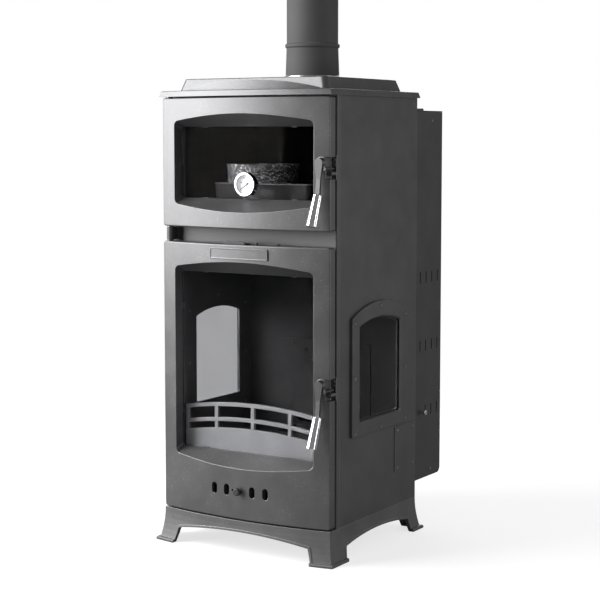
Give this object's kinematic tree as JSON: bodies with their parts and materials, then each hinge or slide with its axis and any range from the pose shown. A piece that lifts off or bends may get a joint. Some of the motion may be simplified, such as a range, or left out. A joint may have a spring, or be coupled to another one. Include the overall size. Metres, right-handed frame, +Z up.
{
  "type": "pellet stove with oven",
  "caption": "Upright cast-iron pellet stove with a glazed firebox door, an oven with a glazed door above it, side windows, a rear pellet hopper and a flue pipe.",
  "frame": {"origin": "on the floor, under the middle of the stove's box", "axes": "+X to the stove's right as you face it, +Y from the doors to the back, +Z up the flue"},
  "size_m": [0.514, 0.627, 1.442],
  "materials": {
    "cast_iron_paint": "satin anthracite stove paint on cast iron",
    "sheet_paint": "satin anthracite stove paint on sheet steel",
    "fire_plate": "matt heatproof black, sooted",
    "pipe_enamel": "satin black stove pipe enamel",
    "steel": "plain turned and rolled steel",
    "dark_steel": "blackened steel fasteners and levers",
    "chrome": "polished chrome",
    "glass": "clear glass ceramic",
    "rope": "braided glass-fibre rope",
    "dial": "white dial with plain graduations",
    "enamel": "gloss black vitreous enamel",
    "speckle": "black non-stick coating with pale speckles",
    "knob": "black cast knob"
  },
  "bodies": {
    "root": {"base_casting": "cast_iron_paint", "front_frame": "cast_iron_paint", "side_panel_right": "sheet_paint", "side_panel_left": "sheet_paint", "back_panel": "sheet_paint", "top_casting": "cast_iron_paint", "flue_collar": "cast_iron_paint", "flue_pipe_lower": "pipe_enamel", "flue_pipe_upper": "pipe_enamel", "hinge_block": "cast_iron_paint", "hinge_pins": "steel", "latch_keepers": "dark_steel", "side_window_frame_right": "cast_iron_paint", "side_window_frame_left": "cast_iron_paint", "side_glass": "glass", "panel_screws": "dark_steel", "access_cover": "sheet_paint", "hopper_case": "sheet_paint", "hopper_bin": "fire_plate", "slide_guides": "fire_plate", "pellet_chute": "fire_plate", "throat_plate": "fire_plate", "throat_bolts": "dark_steel", "firebox_back_wall": "fire_plate", "firebox_floor": "fire_plate", "burner_pot": "fire_plate", "log_guard": "fire_plate", "baffle_plate": "fire_plate", "ash_drawer": "fire_plate", "drawer_rails": "fire_plate", "oven_box": "fire_plate", "oven_rack": "steel", "oven_tray": "enamel", "round_pan": "speckle"},
    "oven_door_body": {"oven_door": "cast_iron_paint", "oven_door_glass": "glass", "oven_door_seal": "rope", "oven_glass_clips": "steel", "thermometer_case": "chrome", "thermometer_nut": "steel", "thermometer_dial": "dial", "thermometer_lens": "glass"},
    "needle_body": {"thermometer_needle": "steel"},
    "oven_handle": {"oven_handle_lever": "dark_steel", "oven_handle_grip": "chrome"},
    "firebox_door_body": {"firebox_door": "cast_iron_paint", "firebox_door_glass": "glass", "firebox_door_seal": "rope", "firebox_glass_clips": "steel", "nameplate": "cast_iron_paint", "wash_stop": "cast_iron_paint", "damper_guides": "fire_plate"},
    "firebox_handle": {"firebox_handle_lever": "dark_steel", "firebox_handle_grip": "chrome"},
    "damper_body": {"air_damper": "dark_steel", "damper_knob": "knob"},
    "wash_slide_body": {"air_wash_slide": "dark_steel"},
    "lid_body": {"hopper_lid": "sheet_paint"},
    "rear_slide_body": {"rear_air_slide": "steel"}
  },
  "joints": [
    {"name": "oven_door_hinge", "type": "hinge", "parent": "root", "child": "oven_door_body", "pos_m": [-0.226, -0.25081, 0.7855], "axis": [0, 0, -1], "range_deg": [0, 110]},
    {"name": "firebox_door_hinge", "type": "hinge", "parent": "root", "child": "firebox_door_body", "pos_m": [-0.226, -0.25081, 0.085], "axis": [0, 0, -1], "range_deg": [0, 110]},
    {"name": "oven_handle_turn", "type": "hinge", "parent": "oven_door_body", "child": "oven_handle", "pos_m": [0.22, -0.27488, 0.9435], "axis": [0, -1, 0], "range_deg": [0, 60]},
    {"name": "firebox_handle_turn", "type": "hinge", "parent": "firebox_door_body", "child": "firebox_handle", "pos_m": [0.22, -0.27488, 0.428], "axis": [0, -1, 0], "range_deg": [0, 60]},
    {"name": "needle_turn", "type": "hinge", "parent": "oven_door_body", "child": "needle_body", "pos_m": [0, -0.24281, 0.89025], "axis": [0, 1, 0], "range_deg": [0, 250]},
    {"name": "damper_slide", "type": "slide", "parent": "firebox_door_body", "child": "damper_body", "axis": [-1, 0, 0], "range_m": [0, 0.01837]},
    {"name": "air_wash_slide_travel", "type": "slide", "parent": "firebox_door_body", "child": "wash_slide_body", "axis": [1, 0, 0], "range_m": [0, 0.02]},
    {"name": "hopper_lid_hinge", "type": "hinge", "parent": "root", "child": "lid_body", "pos_m": [0, 0.30849, 1.072], "axis": [-1, 0, 0], "range_deg": [0, 100]},
    {"name": "rear_air_pull", "type": "slide", "parent": "root", "child": "rear_slide_body", "axis": [1, 0, 0], "range_m": [0, 0.022]}
  ]
}
